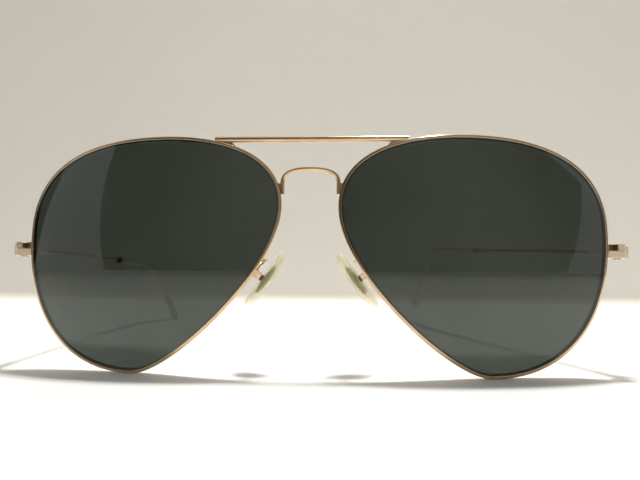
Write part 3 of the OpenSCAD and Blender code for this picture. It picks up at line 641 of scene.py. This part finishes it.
def lock_block(name, low, high, scoop, mat, side):
    """A block with soft edges; with a scoop, the faces of the hollow beside the rim get painted shade."""
    plan = [
        (lock_near[0] - BRAZE, lock_near[1]),
        (lock_near[0] + scoop, lock_front + scoop * SCOOP_SLOPE),
        (lock_near[0] + scoop + SCOOP_END, lock_front),
        (lock_outer - LOCK_CORNER, lock_front),
        (lock_outer, lock_front + LOCK_CORNER),
        (lock_outer, lock_back - LOCK_CORNER),
        (lock_outer - LOCK_CORNER, lock_back),
        (lock_far[0] - BRAZE, lock_back),
        (lock_far[0] - BRAZE, lock_far[1]),
    ]
    m = len(plan)
    verts = [to_row(np.array([x, y, z]), side) for z in (low, high) for x, y in plan]
    faces = outward(verts, [tuple(range(m)), tuple(reversed(range(m, 2 * m)))]
                    + [(j, j + m, (j + 1) % m + m, (j + 1) % m) for j in range(m)])
    ob = wear(mesh_object(name, verts, faces, "front", smooth=False), mat)
    # The scoop's two faces get GOLD_SHADE, painted shade in the hollow beside the rim.
    if scoop:
        ob.data.materials.append(GOLD_SHADE)
        for hollow_face in (2, 3):
            ob.data.polygons[hollow_face].material_index = 1
    bm = bmesh.new()
    bm.from_mesh(ob.data)
    plain = [e for e in bm.edges if any(f.material_index == 0 for f in e.link_faces)]
    bmesh.ops.bevel(bm, geom=plain, offset=LOCK_SOFT * MM, segments=3, affect="EDGES", clamp_overlap=True)
    bm.to_mesh(ob.data)
    bm.free()
    return ob


for word, side in SIDES.items():
    above, below = LOCK_V + LOCK_GAP / 2, LOCK_V - LOCK_GAP / 2
    # The upper block takes the painted shaded copy of the gold, and the lower block the painted lit copy.
    upper = lock_block("lock_block_upper_" + word, above, above + LOCK_HIGH_H, LOCK_SCOOP, GOLD_PAINTED_SHADED, side)
    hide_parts("lock_upper_" + word)
    lower = lock_block("lock_block_lower_" + word, below - LOCK_LOW_H, below, 0.0, GOLD_PAINTED_LIT, side)
    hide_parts("lock_lower_" + word)

# ---------------------------------------------------------------- the CAD pieces that stay
STAYS = {
    "brow_bar": GOLD, "temple_collar": GOLD, "pad_box": GOLD,
    # The front hinge takes the painted shaded copy of the gold, and the temple hinge the painted lit copy.
    "front_hinge": GOLD_PAINTED_SHADED, "temple_hinge": GOLD_PAINTED_LIT,
    "lock_screw": STEEL, "hinge_screw": STEEL, "pad_screw": STEEL, "pad_insert": DARK,
}
for name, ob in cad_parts.items():
    for stem, mat in STAYS.items():
        if name.startswith(stem):
            if not ob.material_slots:
                ob.data.materials.append(mat)
            for slot in ob.material_slots:
                slot.material = mat

# ---------------------------------------------------------------- stage, in metres
WALL_Y, WALL_TOP, COVE, SHEET_HALF = 0.296, 2.0, 0.006, 3.0
COVE_STEPS = 12
CARD_Y, CARD_LOW, CARD_HIGH = -0.75, 0.02, 1.5
SIDE_CARD_X, SIDE_CARD_HALF, SIDE_CARD_TOP = 0.85, 0.12, 0.9
CARD_TONES = [(0.0, 0.03), (0.2, 0.04), (0.39, 0.19), (0.55, 0.32), (0.8, 0.31), (1.0, 0.25)]


def stage_sheet(name, corners, colour, rough, amount=0.03, faces=((0, 1, 2, 3),)):
    """A painted sheet that isn't part of the object; amount is how far its tone varies."""
    me = bpy.data.meshes.new(name)
    me.from_pydata(corners, [], list(faces))
    ob = bpy.data.objects.new(name, me)
    bpy.context.scene.collection.objects.link(ob)
    m, t, b = material(name + "_paint")
    darker = tuple(c * (1 - amount) for c in colour)
    t.links.new(ramp(t, noise(t, 6, 4), [(0.3, darker), (0.7, colour)]), b.inputs["Base Color"])
    b.inputs["Roughness"].default_value = rough
    me.materials.append(m)
    return ob


def backdrop(name, profile, colour, rough, amount):
    """A sheet that runs across the scene along a profile of (y, z) points."""
    corners = [(x, y, z) for y, z in profile for x in (-SHEET_HALF, SHEET_HALF)]
    faces = [(2 * i, 2 * i + 1, 2 * i + 3, 2 * i + 2) for i in range(len(profile) - 1)]
    ob = stage_sheet(name, corners, colour, rough, amount, faces)
    for p in ob.data.polygons:
        p.use_smooth = True
    return ob


def one_sided(ob):
    """Makes a sheet clear from behind, so that it never hides the glasses."""
    t = ob.data.materials[0].node_tree
    side_seen = t.nodes.new("ShaderNodeNewGeometry")
    clear = t.nodes.new("ShaderNodeBsdfTransparent")
    either = t.nodes.new("ShaderNodeMixShader")
    t.links.new(side_seen.outputs["Backfacing"], either.inputs["Fac"])
    t.links.new(t.nodes["Principled BSDF"].outputs["BSDF"], either.inputs[1])
    t.links.new(clear.outputs["BSDF"], either.inputs[2])
    t.links.new(either.outputs["Shader"], t.nodes["Material Output"].inputs["Surface"])


def tone_across(ob, x0, x1, tones):
    """Paints a sheet with (place, grey) stops from x0 to x1, each a little yellow."""
    t = ob.data.materials[0].node_tree
    where = t.nodes.new("ShaderNodeSeparateXYZ")
    t.links.new(t.nodes.new("ShaderNodeTexCoord").outputs["Object"], where.inputs["Vector"])
    across = span(t, where.outputs["X"], 0.0, 1.0, x0, x1)
    t.links.new(ramp(t, across, [(at, (v, v, 0.95 * v)) for at, v in tones]),
                t.nodes["Principled BSDF"].inputs["Base Color"])


backdrop("floor", [(-SHEET_HALF, 0), (SHEET_HALF, 0)], (0.90, 0.90, 0.89), 0.7, 0.015)
cove_angles = [math.radians(90 * k / COVE_STEPS) for k in range(COVE_STEPS + 1)]
wall_profile = [(WALL_Y - COVE + COVE * math.sin(a), COVE - COVE * math.cos(a)) for a in cove_angles]
wall = backdrop("wall", wall_profile + [(WALL_Y, WALL_TOP)], (0.875, 0.84, 0.765), 0.8, 0.03)
one_sided(wall)

# A card behind the camera that the lenses mirror. It's wider at the top, nearly black on the side of
# the right lens and grey on the side of the left one.
card_corners = [(-0.88, CARD_Y, CARD_LOW), (1.30, CARD_Y, CARD_LOW),
                (2.9, CARD_Y, CARD_HIGH), (-1.5, CARD_Y, CARD_HIGH)]
card = stage_sheet("dark_card", card_corners, (0.03, 0.03, 0.028), 0.9)
tone_across(card, -0.9, 1.4, CARD_TONES)
card.visible_camera = False

# Dark cards at the sides, out of the camera's view, for the sides of the wire.
for word, side in SIDES.items():
    x = side * SIDE_CARD_X
    side_card = stage_sheet("side_card_" + word, [
        (x, -SIDE_CARD_HALF, 0.0), (x, SIDE_CARD_HALF, 0.0),
        (x, SIDE_CARD_HALF, SIDE_CARD_TOP), (x, -SIDE_CARD_HALF, SIDE_CARD_TOP)], (0.05, 0.045, 0.04), 0.9)
    side_card.visible_camera = False


# ---------------------------------------------------------------- light
def area_light(name, pos, target, size, power, colour):
    """A square lamp at pos that points at target; size is in metres and power in watts."""
    la = bpy.data.lights.new(name, "AREA")
    la.shape = "RECTANGLE"
    la.size = size
    la.size_y = size
    la.energy = power
    la.color = colour
    ob = bpy.data.objects.new(name, la)
    bpy.context.scene.collection.objects.link(ob)
    ob.location = pos
    ob.rotation_euler = (Vector(target) - Vector(pos)).to_track_quat("-Z", "Y").to_euler()
    return ob


area_light("key_above", (0.11, 0.23, 1.1), (0.0, 0.0, 0.0), 0.12, 11.8, (1, 0.98, 0.95))
front_light = area_light("soft_front", (-0.9, -0.9, 0.9), (0, 0, 0.02), 0.9, 3, (0.98, 0.99, 1))
front_light.visible_glossy = False

world = bpy.data.worlds.new("studio")
bpy.context.scene.world = world
world.use_nodes = True
world.node_tree.nodes["Background"].inputs["Color"].default_value = (0.98, 0.97, 0.95, 1)
world.node_tree.nodes["Background"].inputs["Strength"].default_value = 0.5

# ---------------------------------------------------------------- camera
YAW, PITCH, ROLL = (math.radians(v) for v in (-3.264, -3.044, 0.364))
SENSOR_W = 36.0
FOCAL = 31.6724
CAMERA_AT = (0.009644, -0.123881, 0.0238978)


def turn(axis, a):
    c, s = math.cos(a), math.sin(a)
    return np.array({"x": [[1, 0, 0], [0, c, -s], [0, s, c]],
                     "y": [[c, 0, s], [0, 1, 0], [-s, 0, c]],
                     "z": [[c, -s, 0], [s, c, 0], [0, 0, 1]]}[axis])


right_dir, forward, up_dir = turn("y", ROLL) @ turn("x", PITCH) @ turn("z", YAW)
cam_data = bpy.data.cameras.new("camera")
cam_data.sensor_width = SENSOR_W
cam_data.lens = FOCAL
cam_data.clip_start = 0.01
cam = bpy.data.objects.new("camera", cam_data)
bpy.context.scene.collection.objects.link(cam)
turned = Matrix([right_dir, up_dir, -forward]).transposed()
cam.matrix_world = Matrix.Translation(CAMERA_AT) @ turned.to_4x4()
bpy.context.scene.camera = cam
bpy.context.scene.view_settings.view_transform = "Standard"
